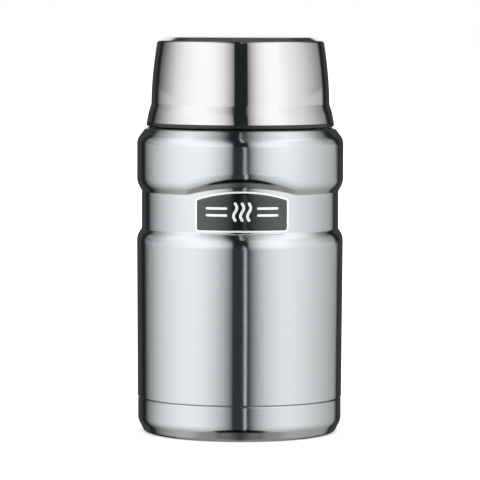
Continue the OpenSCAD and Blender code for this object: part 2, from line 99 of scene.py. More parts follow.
# Base cap, and the skirt of the outer wall inside it
CAP_R = 51.3
CAP_TOP_Z = SEAM_Z - 0.25
SKIRT_R = CAP_R - STEEL_T - FIT
SKIRT_Z = 8.93
FOOT_H = 6.4                # fitted, slope from the standing ring out to the wall
FOOT_RUN = 3.05             # fitted
STAND_R = CAP_R - FOOT_RUN
STAND_IN_R = STAND_R - 4.4
UNDER_RECESS = 1.6
PRESS_BEND_R = 1.0
FOOT_LOW_BEND_R = 2.5       # fitted
FOOT_HIGH_BEND_R = 8.0      # fitted
CAP_EDGE_ROW = 0.4          # a row of points this far below the rim keeps the wall's shading flat

# Cup and the soft ring under its rim
RING_H = 2.0
RING_Z = LEDGE_Z + 0.3
RING_IN_R = 43.2
RING_EDGE_R = RING_H * 0.45
RING_TOP_EDGE_R = 0.15
TONGUE_R = 44.7             # middle of the tongue that holds the ring in the cup
TONGUE_W = 0.6
TONGUE_H = 1.6
TONGUE_FOOT_R = 0.05
TONGUE_EDGE_R = 0.1
CUP_T = 0.5
CUP_WAIST_R = 44.9
FLARE = 2.25
FLARE_H = 9.2
FLARE_MID = (FLARE * 0.58, -FLARE_H * 0.46)     # from the waist, where the flare curves outwards
CUP_RIM_R = CUP_WAIST_R + FLARE
CUP_CORNER_R = CUP_WAIST_R - 3.0
CUP_FLAT_R = 37.0
CUP_LOW_Z = RING_Z + RING_H + FIT
CUP_WAIST_Z = CUP_LOW_Z + FLARE_H
CUP_TOP_Z = RING_Z + 45.0
CUP_EDGE_H = 2.3
WAIST_LEAN = 1.66           # degrees that the wall leans in just above its waist
FLARE_BEND_R = 15.0
CUP_WAIST_BEND_R = 1.5
CUP_SIDE_SHARE = 0.8        # share of each half of the side that its long bend takes up
CORNER_BEND_R = 1.6
TOP_BEND_R = 3.0
LEDGE_R = CUP_RIM_R + 0.4   # upper end of the jar's shoulder, just wider than the cup

# Badge plate and its inlay
BADGE_W = 46.0
BADGE_H = 20.2
BADGE_RISE = 3.9
BADGE_CORNER_R = 2.0
BADGE_LOW_Z = 103.6
BADGE_IN_R = 49.85
BADGE_FACE_R = BADGE_IN_R + 0.4
BADGE_RIM_W = 0.9
BADGE_RIM_R = BADGE_FACE_R + 0.4
RIM_EDGE = 0.15             # size of the rounding along the rim
RIM_EDGE_MID = 0.05         # how far in and down the middle of that rounding lies
BACK_ROW = 0.1              # rows of points beside the plate's sharp edges, for even shading
FACE_ROW = 0.05
INLAY_IN_R = BADGE_FACE_R + WELD
INLAY_R = INLAY_IN_R + 0.25
INLAY_EDGE = 0.06

# Raised pattern on the inlay: waves in the middle, level bars on both sides
MOTIF_Z = BADGE_LOW_Z + BADGE_H / 2
MOTIF_H = 0.2
MOTIF_SINK = 0.05
WAVE_GAP = 3.4
WAVE_SWING = 0.8
WAVE_HALF_H = 4.1
WAVE_LINE_W = 1.35
BAR_Z = 1.7                 # the bars lie this far above and below the middle
BAR_IN_X = 7.9
BAR_OUT_X = 17.2
BAR_LINE_W = 1.2

# Fineness of the meshes
BEND_STEPS = 10             # straight steps in each bend of a visible wall
BACK_BEND_STEPS = 4         # and on its hidden side
MIN_BEND_R = 0.05
TINY = 1e-12                # keeps a length of zero from being divided by
OUTER_WALL_STEPS = 360      # steps round the axis
VESSEL_STEPS = 192
TURNED_STEPS = 240
NECK_STEP = 0.22            # height between two rows of points on the threaded neck
NECK_ROWS_LOW = 1.5         # those rows start this far above the ledge
NECK_ROWS_HIGH = 1.3        # and end this far below the lip
CUP_BEND_STEPS = 16
CUP_BACK_BEND_STEPS = 6
RING_BEND_STEPS = 8
BADGE_CORNER_STEPS = 8
BADGE_TOP_STEPS = 16
BADGE_SIDE_POINTS = 8
BADGE_BOTTOM_POINTS = 20
BADGE_RINGS = 7             # rings of points that close the back and the face of the plate
INLAY_RINGS = 10
WAVE_POINTS = 25
BAR_POINTS = 14


# ---- Outlines --------------------------------------------------------------------------------
def unit(v):
    return v / np.hypot(*v)


def side_of(a, b, c):
    """Positive where the path a-b-c turns to the left, negative where it turns to the right."""
    return (b[0] - a[0]) * (c[1] - b[1]) - (b[1] - a[1]) * (c[0] - b[0])


def bend(a, b, c, r, steps):
    """Points of the arc that rounds corner b of the path a-b-c."""
    u, v = unit(a - b), unit(c - b)
    half = math.acos(float(np.clip(u @ v, -1, 1))) / 2
    o = b + unit(u + v) * r / math.sin(half)
    p = b + u * r / math.tan(half)
    start = math.atan2(p[1] - o[1], p[0] - o[0])
    sweep = (math.pi - 2 * half) * (1 if side_of(a, b, c) > 0 else -1)
    t = start + sweep * np.linspace(0, 1, steps + 1)
    return o + r * np.stack([np.cos(t), np.sin(t)], 1)


def long_bend(a, b, c, share):
    """Radius of a bend at b that takes up a share of the shorter leg beside it."""
    half = math.acos(float(unit(a - b) @ unit(c - b))) / 2
    return share * min(np.hypot(*(a - b)), np.hypot(*(c - b))) * math.tan(half)


def rounded(path, radii, steps):
    """The path with its inner corners rounded, each bend in the same number of steps."""
    path = [np.array(p, float) for p in path]
    out = []
    for i, p in enumerate(path):
        if i in (0, len(path) - 1) or radii[i] <= 0:
            out.append(p[None])
        else:
            out.append(bend(path[i - 1], p, path[i + 1], radii[i], steps))
    return np.concatenate(out)


def moved(path, radii, t):
    """The same path moved t to its left, with the bend radii that keep the thickness even."""
    path = [np.array(p, float) for p in path]
    last = len(path) - 1
    new, new_radii = [], []
    for i, p in enumerate(path):
        j, k = max(i, 1), min(i, last - 1)
        d0, d1 = unit(path[j] - path[j - 1]), unit(path[k + 1] - path[k])
        n = np.array([-d0[1] - d1[1], d0[0] + d1[0]])
        new.append(p + n * t / (1 + d0 @ d1))
        inner = 0 < i < last and radii[i] > 0
        turn = side_of(path[i - 1], p, path[i + 1]) if inner else 0
        new_r = max(MIN_BEND_R, radii[i] - t * (1 if turn > 0 else -1)) if inner else 0
        new_radii.append(new_r)
    return new, new_radii


def wall_sides(path, radii, t, steps=BEND_STEPS, back_steps=BACK_BEND_STEPS):
    """The two sides of a wall of sheet whose thickness lies to the left of the path: the side
    along the path, and the other one back to its start."""
    back = rounded(*moved(path, radii, t), back_steps)
    return rounded(path, radii, steps), back[::-1]


# ---- Meshes ----------------------------------------------------------------------------------
def area_vectors(points, faces):
    """Area vector of each face, for faces that all have the same number of corners."""
    p = points[faces]
    p = p - p[:, :1]
    return np.cross(p[:, 1:-1], p[:, 2:]).sum(1) / 2


def make_piece(name, shape, body, material, replaces=()):
    """A smooth-shaded piece from a shape of points, in millimetres, and faces.  Its normals are
    weighted by area, so that a flat or cylindrical wall stays true up to the bend beside it."""
    verts, faces = shape
    points = np.asarray(verts, float) * MM
    by_corners = {}
    for face in faces:
        by_corners.setdefault(len(face), []).append(face)
    normals = np.zeros_like(points)
    volume = 0.0
    for corners, group in by_corners.items():
        group = np.array(group)
        area = area_vectors(points, group)
        volume += (points[group].mean(1) * area).sum()
        np.add.at(normals, group.ravel(), np.repeat(area, corners, 0))
    if volume < 0:
        faces = [face[::-1] for face in faces]
        normals = -normals
    mesh = bpy.data.meshes.new(name)
    mesh.from_pydata(points.tolist(), [], faces)
    mesh.polygons.foreach_set("use_smooth", [True] * len(mesh.polygons))
    length = np.linalg.norm(normals, axis=1, keepdims=True)
    mesh.normals_split_custom_set_from_vertices((normals / np.maximum(length, TINY)).tolist())
    obj = bpy.data.objects.new(name, mesh)
    bpy.context.scene.collection.objects.link(obj)
    mesh.materials.append(material)
    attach(obj, body)
    for node in replaces:
        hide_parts(node)


def strips(rows, columns, wrap_rows, wrap_columns):
    """Quads between neighbouring points of a grid that is stored row by row."""
    i = np.arange(rows if wrap_rows else rows - 1)[:, None]
    j = np.arange(columns if wrap_columns else columns - 1)[None]
    k, m = (i + 1) % rows, (j + 1) % columns
    quads = np.stack([i * columns + j, k * columns + j, k * columns + m, i * columns + m], -1)
    return quads.reshape(-1, 4).tolist()


def turned(outline, steps=TURNED_STEPS, closed=True):
    """Points and faces of an outline of (r, z) pairs turned about the jar's axis.  The outline
    may be a function of the angle.  An open outline starts and ends on the axis."""
    angles = 2 * math.pi * np.arange(steps) / steps
    rows = np.array([outline(a) if callable(outline) else outline for a in angles])
    ends = [(0, 0, rows[0, 0, 1]), (0, 0, rows[0, -1, 1])]
    if not closed:
        rows = rows[:, 1:-1]
    turn = angles[:, None]
    points = np.stack([rows[..., 0] * np.cos(turn), rows[..., 0] * np.sin(turn), rows[..., 1]], -1)
    n = rows.shape[1]
    verts = points.reshape(-1, 3)
    faces = strips(steps, n, True, closed)
    if closed:
        return verts, faces
    first, last = len(verts), len(verts) + 1
    for i in range(steps):
        k = (i + 1) % steps
        faces += [(first, k * n, i * n), (last, i * n + n - 1, k * n + n - 1)]
    return np.concatenate([verts, ends]), faces


def joined(shapes):
    """Several shapes of points and faces as one."""
    verts, faces = [], []
    for v, f in shapes:
        base = len(verts)
        verts += [tuple(p) for p in v]
        faces += [tuple(i + base for i in face) for face in f]
    return verts, faces


# ---- Outline of the outer wall: waist, arch, band, shoulder and threaded neck -----------------
def smooth(t):
    t = np.clip(t, 0, 1)
    return t * t * (3 - 2 * t)


def ridge_height(angle, z):
    """Height of the rolled screw ridge over the neck at an angle, for an array of heights z."""
    end = NECK_TURNS * 360
    out = np.zeros_like(z)
    for start in range(STARTS):
        a = (math.degrees(angle) - 360 * start / STARTS) % 360
        while a <= end:
            rise = RIDGE_H * min(1, (a + RUN_IN) / RUN_OUT, (end - a + RUN_IN) / RUN_OUT)
            off = np.abs(z - NECK_THREAD_Z - LEAD * a / 360)
            flank = (RIDGE_BASE / 2 - off) / ((RIDGE_BASE - RIDGE_CREST) / 2)
            out = np.maximum(out, rise * smooth(flank))
            a += 360
    return out


def arch_lift(angle):
    """How far the arch, at the front only, lifts the waist's upper edge."""
    if math.sin(angle) >= 0:
        return 0.0
    x = WAIST_R * math.cos(angle)
    lift = ARCH_RISE * (1 - (2 * x / ARCH_W) ** 2)
    return ARCH_EASE * math.log1p(math.exp(lift / ARCH_EASE))


def lower_top():
    """Top of the lower body, which draws in gently before its slope, and its two bends."""
    slope_z = WAIST_LOW_Z - LOWER_SLOPE_H
    eased = [(BODY_R, slope_z - EASE_H), (BODY_R - EASE_IN, slope_z)]
    path = [np.array(p) for p in ((FOOT_R, SEAM_Z), *eased, (WAIST_R, WAIST_LOW_Z))]
    return eased, (long_bend(*path[:3], EASE_SHARE), long_bend(*path[1:], LOWER_SHARE))


def shell_outline(angle):
    """Outline of the outer wall at an angle, from its skirt up to the lip and back inside."""
    eased, eased_bends = lower_top()
    edge_z = WAIST_HIGH_Z + arch_lift(angle)
    path = [
        (SKIRT_R, SKIRT_Z), (SKIRT_R, SEAM_Z), (FOOT_R, SEAM_Z),
        *eased, (WAIST_R, WAIST_LOW_Z),
        (WAIST_R, edge_z), (BODY_R, edge_z + BAND_SLOPE_H), (BODY_R, SHOULDER_Z),
        (LEDGE_R, LEDGE_Z), (NECK_R, LEDGE_Z), (NECK_R, LIP_Z), (LIP_MID_R, LIP_Z)]
    radii = [
        0, SKIRT_BEND_R, SEAM_BEND_R,
        *eased_bends, WAIST_BEND_R,
        WAIST_BEND_R, BAND_BEND_R, SHOULDER_BEND_R,
        LEDGE_BEND_R, NECK_BEND_R, LIP_BEND_R, 0]
    outer, back = wall_sides(path, radii, STEEL_T)
    neck_z = np.arange(LEDGE_Z + NECK_ROWS_LOW, LIP_Z - NECK_ROWS_HIGH, NECK_STEP)
    neck = np.stack([NECK_R + ridge_height(angle, neck_z), neck_z], 1)
    lip_bend = len(outer) - 1 - (BEND_STEPS + 1)        # the neck's rows come before this bend
    return np.concatenate([outer[:lip_bend], neck, outer[lip_bend:], back])


# ---- Shapes of the badge ---------------------------------------------------------------------
def badge_outline(d):
    """Outline of the badge seen from the front, with every edge moved in by d."""
    half = BADGE_W / 2
    arch_r = half * half / 2 / BADGE_RISE + BADGE_RISE / 2
    arch_z = BADGE_LOW_Z + BADGE_H - arch_r
    r = max(BADGE_CORNER_R - d, MIN_BEND_R)
    side = half - BADGE_CORNER_R
    low = BADGE_LOW_Z + BADGE_CORNER_R
    high = arch_z + math.sqrt((arch_r - BADGE_CORNER_R) ** 2 - side * side)
    lean = math.asin(side / (arch_r - BADGE_CORNER_R))
    t = np.linspace(0, 1, BADGE_CORNER_STEPS + 1)
    a = t * math.pi / 2
    low_corner = np.stack([side + r * np.sin(a), low - r * np.cos(a)], 1)
    a = t * (math.pi / 2 - lean)
    high_corner = np.stack([side + r * np.cos(a), high + r * np.sin(a)], 1)
    sides = np.linspace(low_corner[-1], high_corner[0], BADGE_SIDE_POINTS)[1:-1]
    a = lean * (1 - np.linspace(0, 1, BADGE_TOP_STEPS + 1)[1:])
    top = np.stack([(arch_r - d) * np.sin(a), arch_z + (arch_r - d) * np.cos(a)], 1)
    right = np.concatenate([low_corner, sides, high_corner, top])
    bottom = np.linspace((-side, low - r), (side, low - r), BADGE_BOTTOM_POINTS)[1:-1]
    left = right[-2::-1] * (-1, 1)
    return np.concatenate([right, left, bottom])


def on_waist(points, r):
    """Points (x, z) seen from the front, laid on the cylinder of radius r."""
    x, z = points[:, 0], points[:, 1]
    return np.stack([x, -np.sqrt(r * r - x * x), z], 1)


def plate(layers, rings):
    """Closed solid from (inset, radius) layers, from the back round the edge to the face.  Both
    ends are closed by rings that shrink to a point."""
    middle = np.array([0.0, MOTIF_Z])
    shrink = [1 - i / rings for i in range(rings)]
    d0, r0 = layers[0]
    d1, r1 = layers[-1]
    loops = [on_waist(middle + (badge_outline(d0) - middle) * s, r0) for s in shrink[:0:-1]]
    loops += [on_waist(badge_outline(d), r) for d, r in layers]
    loops += [on_waist(middle + (badge_outline(d1) - middle) * s, r1) for s in shrink[1:]]
    n = len(loops[0])
    verts = np.concatenate(loops + [on_waist(middle[None], r0), on_waist(middle[None], r1)])
    faces = strips(len(loops), n, False, True)
    back, face, end = len(loops) * n, len(loops) * n + 1, (len(loops) - 1) * n
    faces += [(back, j, (j + 1) % n) for j in range(n)]
    faces += [(face, end + (j + 1) % n, end + j) for j in range(n)]
    return verts, faces


# Half of a round end, as angles, and the section of a line as shares of its width and height
STROKE_END = np.radians([80, 60, 40, 20])
STROKE_SECTION = [(-0.5, 0.0), (-0.5, 0.6), (-0.42, 0.9), (-0.3, 1.0),
                  (0.3, 1.0), (0.42, 0.9), (0.5, 0.6), (0.5, 0.0)]


def stroke(points, width):
    """A raised line of the badge's pattern along points (x, z), with round ends."""
    points = np.array(points, float)
    d = np.gradient(points, axis=0)
    d /= np.linalg.norm(d, axis=1, keepdims=True)
    side = np.stack([-d[:, 1], d[:, 0]], 1)
    reach = width / 2
    rows = [(points[0] - d[0] * reach * math.sin(a), side[0], math.cos(a)) for a in STROKE_END]
    rows += [(p, s, 1.0) for p, s in zip(points, side)]
    rows += [(points[-1] + d[-1] * reach * math.sin(a), side[-1], math.cos(a))
             for a in STROKE_END[::-1]]
    verts = []
    for p, s, wide in rows:
        for u, h in STROKE_SECTION:
            q = p + s * u * width * wide
            r = INLAY_R - MOTIF_SINK + h * MOTIF_H
            verts.append((q[0], -math.sqrt(r * r - q[0] ** 2), q[1]))
    n = len(STROKE_SECTION)
    faces = strips(len(rows), n, False, True)
    faces += [tuple(range(n)), tuple(range((len(rows) - 1) * n, len(rows) * n))[::-1]]
    return verts, faces


# ---- Materials -------------------------------------------------------------------------------
class Nodes:
    """Short-hand for building a node tree."""

    def __init__(self, tree):
        self.tree = tree

    def put(self, node, inputs):
        """Link or set each of these inputs of the node."""
        for key, value in inputs.items():
            if isinstance(value, bpy.types.NodeSocket):
                self.tree.links.new(value, node.inputs[key])
            else:
                node.inputs[key].default_value = value

    def add(self, kind, inputs=None, **settings):
        node = self.tree.nodes.new(kind)
        for key, value in settings.items():
            setattr(node, key, value)
        self.put(node, inputs or {})
        return node

    def math(self, operation, *values):
        inputs = dict(enumerate(values))
        return self.add("ShaderNodeMath", inputs, operation=operation).outputs[0]

    def step(self, value, edge):
        """0 before the edge, 1 after it, smooth between its two ends."""
        return self.add("ShaderNodeMapRange", {0: value, 1: edge[0], 2: edge[1], 3: 0.0, 4: 1.0},
                        interpolation_type="SMOOTHSTEP").outputs[0]

    def range(self, value, ends, to):
        """The value's range between two ends, stretched evenly to another and held beyond."""
        inputs = {0: value, 1: ends[0], 2: ends[1], 3: to[0], 4: to[1]}
        return self.add("ShaderNodeMapRange", inputs).outputs[0]

    def noise(self, vector, scale, detail, rough):
        inputs = {"Vector": vector, "Scale": scale, "Detail": detail, "Roughness": rough}
        return self.add("ShaderNodeTexNoise", inputs).outputs["Fac"]

    def lines(self, place, around, up, detail, rough=0.6):
        """Noise with its own fineness around the jar and up it, in features per metre."""
        scaled = self.add("ShaderNodeVectorMath", {0: place, 1: (around, around, up)},
                          operation="MULTIPLY").outputs[0]
        return self.noise(scaled, 1.0, detail, rough)

    def blend(self, a, b, share):
        """The given share of a and the rest of b."""
        return self.math("MULTIPLY_ADD", a, share, self.math("MULTIPLY", b, 1 - share))

    def spread(self, noise, middle, width):
        """Noise between 0 and 1 turned into values about the middle."""
        return self.math("MULTIPLY_ADD", noise, width, middle - width / 2)

    def mix(self, factor, a, b):
        inputs = {0: factor, 6: a, 7: b}
        return self.add("ShaderNodeMix", inputs, data_type="RGBA").outputs[2]

    def tones(self, factor, colour, change):
        """The colour made darker and lighter by a share of itself."""
        low, high = ((*[min(1.0, c * f) for c in colour], 1.0) for f in (1 - change, 1 + change))
        return self.mix(factor, low, high)

    def bump(self, height, strength, distance):
        inputs = {"Strength": strength, "Distance": distance, "Height": height}
        return self.add("ShaderNodeBump", inputs).outputs[0]


def new_material(name, **constants):
    """A material with a Principled shader, its even values set on the shader's own sockets."""
    mat = bpy.data.materials.new(name)
    mat.use_nodes = True
    nodes = Nodes(mat.node_tree)
    shader = mat.node_tree.nodes["Principled BSDF"]
    nodes.put(shader, {key.replace("_", " "): value for key, value in constants.items()})
    place = nodes.add("ShaderNodeTexCoord").outputs["Object"]
    return mat, nodes, shader, place


def brushed(name, colour, rough, spread, aniso, line=5200.0, depth=0.00004, streak=0.05):
    """Steel brushed round the jar's axis: fine level lines, smeared mostly up and down."""
    mat, n, shader, place = new_material(name, Metallic=1.0, Anisotropic=aniso,
                                         Anisotropic_Rotation=0.25)
    fine = n.lines(place, around=60.0, up=line, detail=2.0)
    coarse = n.lines(place, around=25.0, up=line / 6, detail=3.0)
    patch = n.noise(place, scale=38.0, detail=3.0, rough=0.55)
    grain = n.blend(fine, coarse, share=0.6)
    worn = n.spread(patch, rough, spread)
    ring = n.add("ShaderNodeTangent", direction_type="RADIAL", axis="Z")
    n.put(shader, {
        "Base Color": n.tones(n.range(grain, (0.3, 0.7), (0.0, 1.0)), colour, streak),
        "Roughness": n.math("MULTIPLY_ADD", coarse, spread, worn),
        "Normal": n.bump(grain, strength=1.0, distance=depth),
        "Tangent": ring.outputs[0]})
    return mat


def polished(name, colour, rough, spread):
    """Bright polished steel with faint round polishing lines and handling haze."""
    mat, n, shader, place = new_material(name, Metallic=1.0)
    lines = n.lines(place, around=30.0, up=2400.0, detail=2.0)
    haze = n.noise(place, scale=55.0, detail=4.0, rough=0.6)
    wave = n.lines(place, around=22.0, up=13.2, detail=1.0, rough=0.4)
    height = n.blend(lines, wave, share=0.02)
    n.put(shader, {
        "Base Color": n.tones(haze, colour, change=0.015),
        "Roughness": n.spread(haze, rough, spread),
        "Normal": n.bump(height, strength=1.0, distance=0.00006)})
    return mat


def moulded(name, colour, rough, grain=1400.0, depth=0.00003, spread=0.12, **constants):
    """Moulded plastic, rubber or lacquer: a fine pebbled skin with soft tone and gloss changes."""
    mat, n, shader, place = new_material(name, **constants)
    fine = n.noise(place, scale=grain, detail=2.0, rough=0.55)
    soft = n.noise(place, scale=60.0, detail=3.0, rough=0.6)
    n.put(shader, {
        "Base Color": n.tones(n.blend(fine, soft, share=0.4), colour, change=0.18),
        "Roughness": n.spread(soft, rough, spread),
        "Normal": n.bump(fine, strength=0.5, distance=depth)})
    return mat


SATIN = brushed("satin_steel", (0.693, 0.70, 0.705), rough=0.085, spread=0.02, aniso=0.9,
                depth=0.000012, streak=0.02)
MIRROR = polished("polished_steel", (0.735, 0.70, 0.70), rough=0.05, spread=0.02)
INNER = brushed("inner_steel", (0.62, 0.62, 0.61), rough=0.24, spread=0.08, aniso=0.6,
                line=2600.0)
FOIL = polished("foil", (0.82, 0.82, 0.83), rough=0.18, spread=0.1)
SINTER = moulded("getter_metal", (0.20, 0.19, 0.18), rough=0.65, grain=2600.0, depth=0.0001,
                 Metallic=0.7)
SOLDER = moulded("solder", (0.60, 0.52, 0.38), rough=0.5, grain=900.0, depth=0.0001,
                 Metallic=0.9)
TAPE = moulded("adhesive", (0.05, 0.05, 0.05), rough=0.8, grain=2500.0)
LACQUER = moulded("badge_metal", (0.86, 0.86, 0.85), rough=0.22, grain=900.0, depth=0.00001,
                  spread=0.08, Metallic=0.4, Coat_Weight=0.5, Coat_Roughness=0.12)
ENAMEL = moulded("badge_enamel", (0.003, 0.005, 0.003), rough=0.12, grain=500.0,
                 depth=0.000004, spread=0.03, IOR=1.6, Specular_IOR_Level=0.95,
                 Specular_Tint=(0.84, 1.0, 0.96, 1.0))
SILICONE = moulded("silicone", (0.66, 0.67, 0.66), rough=0.55, grain=1100.0,
                   Subsurface_Weight=0.15, Subsurface_Radius=(0.002, 0.002, 0.002))
PLASTIC = moulded("dark_plastic", (0.026, 0.028, 0.029), rough=0.42, grain=1700.0,
                  depth=0.00005)
FOAM = moulded("foam", (0.86, 0.86, 0.84), rough=0.9, grain=1500.0, depth=0.0003)
RUBBER = moulded("dark_rubber", (0.006, 0.0065, 0.0065), rough=0.28, grain=1500.0,
                 depth=0.00003, spread=0.08, Specular_IOR_Level=0.7)


# ---- Pieces ----------------------------------------------------------------------------------
def make_outer_wall():
    shape = turned(shell_outline, OUTER_WALL_STEPS)
    make_piece("jar_outer_wall", shape, "jar", SATIN, ["outer_shell"])


def make_base_cap():
    path = [
        (0, UNDER_RECESS), (STAND_IN_R - UNDER_RECESS, UNDER_RECESS), (STAND_IN_R, 0),
        (STAND_R, 0), (CAP_R, FOOT_H), (CAP_R, CAP_TOP_Z - CAP_EDGE_ROW), (CAP_R, CAP_TOP_Z)]
    radii = [0, PRESS_BEND_R, PRESS_BEND_R, FOOT_LOW_BEND_R, FOOT_HIGH_BEND_R, 0, 0]
    shape = turned(np.concatenate(wall_sides(path, radii, STEEL_T)), closed=False)
    make_piece("jar_base_cap", shape, "jar", SATIN, ["base_cap"])


def make_vessel_wall():
    path = [
        (VESSEL_R, VESSEL_JOINT_Z), (VESSEL_R, VESSEL_SHOULDER_Z), (MOUTH_R, VESSEL_NECK_Z),
        (MOUTH_R, LIP_Z), (LIP_MID_R, LIP_Z)]
    radii = [0, VESSEL_SHOULDER_BEND_R, VESSEL_NECK_BEND_R, LIP_BEND_R, 0]
    shape = turned(np.concatenate(wall_sides(path, radii, -VESSEL_T)), VESSEL_STEPS)
    make_piece("vessel_wall", shape, "jar", INNER, ["inner_vessel"])


def make_cup_shell():
    corner = np.array((CUP_CORNER_R, CUP_TOP_Z - CUP_EDGE_H))
    waist = np.array((CUP_WAIST_R, CUP_WAIST_Z))
    half_side = (corner[1] - waist[1]) / 2
    side = waist + half_side * np.array((-math.tan(math.radians(WAIST_LEAN)), 1))
    path = [
        (CUP_RIM_R, CUP_LOW_Z), waist + FLARE_MID, waist, side, corner,
        (CUP_FLAT_R, CUP_TOP_Z), (0, CUP_TOP_Z)]
    side_bend_r = long_bend(waist, side, corner, CUP_SIDE_SHARE)
    radii = [0, FLARE_BEND_R, CUP_WAIST_BEND_R, side_bend_r, CORNER_BEND_R, TOP_BEND_R, 0]
    outer, back = wall_sides(path, radii, CUP_T, CUP_BEND_STEPS, CUP_BACK_BEND_STEPS)
    shape = turned(np.concatenate([back, outer]), closed=False)
    make_piece("cup_polished_shell", shape, "cup", MIRROR, ["cup_shell"])


def make_soft_ring():
    top = RING_Z + RING_H
    tongue_in_r, tongue_out_r = TONGUE_R - TONGUE_W / 2, TONGUE_R + TONGUE_W / 2
    path = [
        (RING_IN_R, RING_Z), (CUP_RIM_R, RING_Z), (CUP_RIM_R, top),
        (tongue_out_r, top), (tongue_out_r, top + TONGUE_H),
        (tongue_in_r, top + TONGUE_H), (tongue_in_r, top), (RING_IN_R, top)]
    radii = [0, RING_EDGE_R, RING_TOP_EDGE_R, TONGUE_FOOT_R, TONGUE_EDGE_R, TONGUE_EDGE_R,
             TONGUE_FOOT_R, 0]
    shape = turned(rounded(path, radii, RING_BEND_STEPS))
    make_piece("cup_soft_ring", shape, "cup_ring", RUBBER, ["cup_rim_ring"])


def make_badge_frame():
    """The plate with its raised rim, whose edges are rounded."""
    in_edge = BADGE_RIM_W - RIM_EDGE
    in_mid = BADGE_RIM_W - RIM_EDGE_MID
    layers = [
        (0.0, BADGE_IN_R), (0.0, BADGE_IN_R + BACK_ROW), (0.0, BADGE_RIM_R - RIM_EDGE),
        (RIM_EDGE_MID, BADGE_RIM_R - RIM_EDGE_MID), (RIM_EDGE, BADGE_RIM_R),
        (in_edge, BADGE_RIM_R), (in_mid, BADGE_RIM_R - RIM_EDGE_MID),
        (BADGE_RIM_W, BADGE_RIM_R - RIM_EDGE), (BADGE_RIM_W, BADGE_FACE_R + FACE_ROW),
        (BADGE_RIM_W, BADGE_FACE_R)]
    shape = plate(layers, BADGE_RINGS)
    make_piece("badge_frame", shape, "jar", LACQUER, ["badge_plate"])


def make_badge_field():
    inset = BADGE_RIM_W + WELD
    layers = [(inset, INLAY_IN_R), (inset, INLAY_R - INLAY_EDGE), (inset + INLAY_EDGE, INLAY_R)]
    shape = plate(layers, INLAY_RINGS)
    make_piece("badge_dark_field", shape, "jar", ENAMEL, ["badge_inlay"])


def make_badge_pattern():
    """A plain pattern of three waves between level bars, in place of any lettering."""
    strokes = []
    for k in (-1, 0, 1):
        wave = [(WAVE_GAP * k + WAVE_SWING * math.sin(math.pi * u), MOTIF_Z + WAVE_HALF_H * u)
                for u in np.linspace(-1, 1, WAVE_POINTS)]
        strokes.append(stroke(wave, WAVE_LINE_W))
    bar_x = np.linspace(BAR_IN_X, BAR_OUT_X, BAR_POINTS)
    for side in (-1, 1):
        for level in (BAR_Z, -BAR_Z):
            strokes.append(stroke([(side * x, MOTIF_Z + level) for x in bar_x], BAR_LINE_W))
    make_piece("badge_pattern", joined(strokes), "jar", LACQUER)


def finish_nodes():
    """Finished materials for the nodes of the CAD, both those that are shown and those that a
    piece of this script stands for."""
    finishes = {
        "inner_bottom": INNER, "radiation_shield": FOIL, "getter": SINTER, "getter_clip": INNER,
        "outer_bottom": INNER, "vacuum_seal": SOLDER, "badge_pad": TAPE,
        "stopper_gasket": SILICONE, "stopper_body": PLASTIC, "stopper_foam": FOAM,
        "stopper_cover": PLASTIC, "cup_liner": PLASTIC, "outer_shell": SATIN, "base_cap": SATIN,
        "inner_vessel": INNER, "cup_shell": MIRROR, "cup_rim_ring": RUBBER,
        "badge_plate": LACQUER, "badge_inlay": ENAMEL}
    for node, finish in finishes.items():
        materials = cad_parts[node].data.materials
        materials.clear()
        materials.append(finish)


make_outer_wall()
make_base_cap()
make_vessel_wall()
make_cup_shell()
make_soft_ring()
make_badge_frame()
make_badge_field()
make_badge_pattern()
finish_nodes()

# ---- Studio ----------------------------------------------------------------------------------
# The steel mirrors the world, so the world is drawn by the direction in which a ray leaves, in
# degrees: az is 0 towards the camera and grows to its right, turn is az without its sign, el is
# the height over the level.  A pair of angles is an edge: where it starts and where it is whole.

# Heights at which the boxes' lower halves give way to the upper ones, the level, and overhead
HALVES = (-4.1, -1.3)
LEVEL = (-1.5, 1.5)
OVERHEAD = (22.0, 36.0)

# Each half of a soft box: its middle, how wide and how steep it fades inwards and outwards, and
# its strength
TOP_LEFT = {"centre": 50.0, "inner": (44.3, 2.8), "outer": (89.5, 1.71), "strength": 1.33}
TOP_RIGHT = {"centre": 50.0, "inner": (44.2, 3.05), "outer": (140.0, 0.826), "strength": 1.33}
LOW_LEFT = {"centre": 62.0, "inner": (55.0, 2.3), "outer": (73.1, 1.76), "strength": 1.114}
LOW_RIGHT = {"centre": 60.0, "inner": (50.8, 2.7), "outer": (110.0, 1.2), "strength": 1.02}

# Overhead the boxes lean away from each other, the left one more so: heights, and how much each
# stretch adds
LEAN_LEFT = (((8.0, 25.0), 0.15), ((25.0, 42.0), 0.30), ((42.0, 80.0), 0.38))
LEAN_RIGHT = (((30.0, 42.0), 0.33), ((42.0, 80.0), 0.22))

# Edges of the dark gap in front and of the boxes' far ends, and the ceiling over them
GAP_LEFT_LOW = (8.9, 10.3)
GAP_LEFT = (8.0, 9.8)
GAP_RIGHT = (7.3, 9.3)
GAP_LEFT_OVERHEAD = (1.0, 14.0)
GAP_RIGHT_OVERHEAD = (2.0, 8.0)
END_LEFT = (130.5, 138.0)
END_RIGHT_TOP = (127.5, 136.0)
END_RIGHT_LOW = (133.0, 143.0)
END_LEFT_OVERHEAD = (138.0, 150.0)
END_RIGHT_OVERHEAD = (130.0, 142.0)
CEILING_LEFT = (68.0, 84.0)
CEILING_RIGHT = (62.0, 92.0)

# Below the middle the boxes get weaker, and their lower edge sinks with the turn
WEAKER_EL = (-48.0, -15.0)
WEAKER = (0.55, 1.0)
LOW_EDGE_EL = -26.5
LOW_EDGE_SLOPE = -0.45
LOW_EDGE_LOWEST = -50.0
LOW_EDGE_SOFT = (-1.5, 1.5)

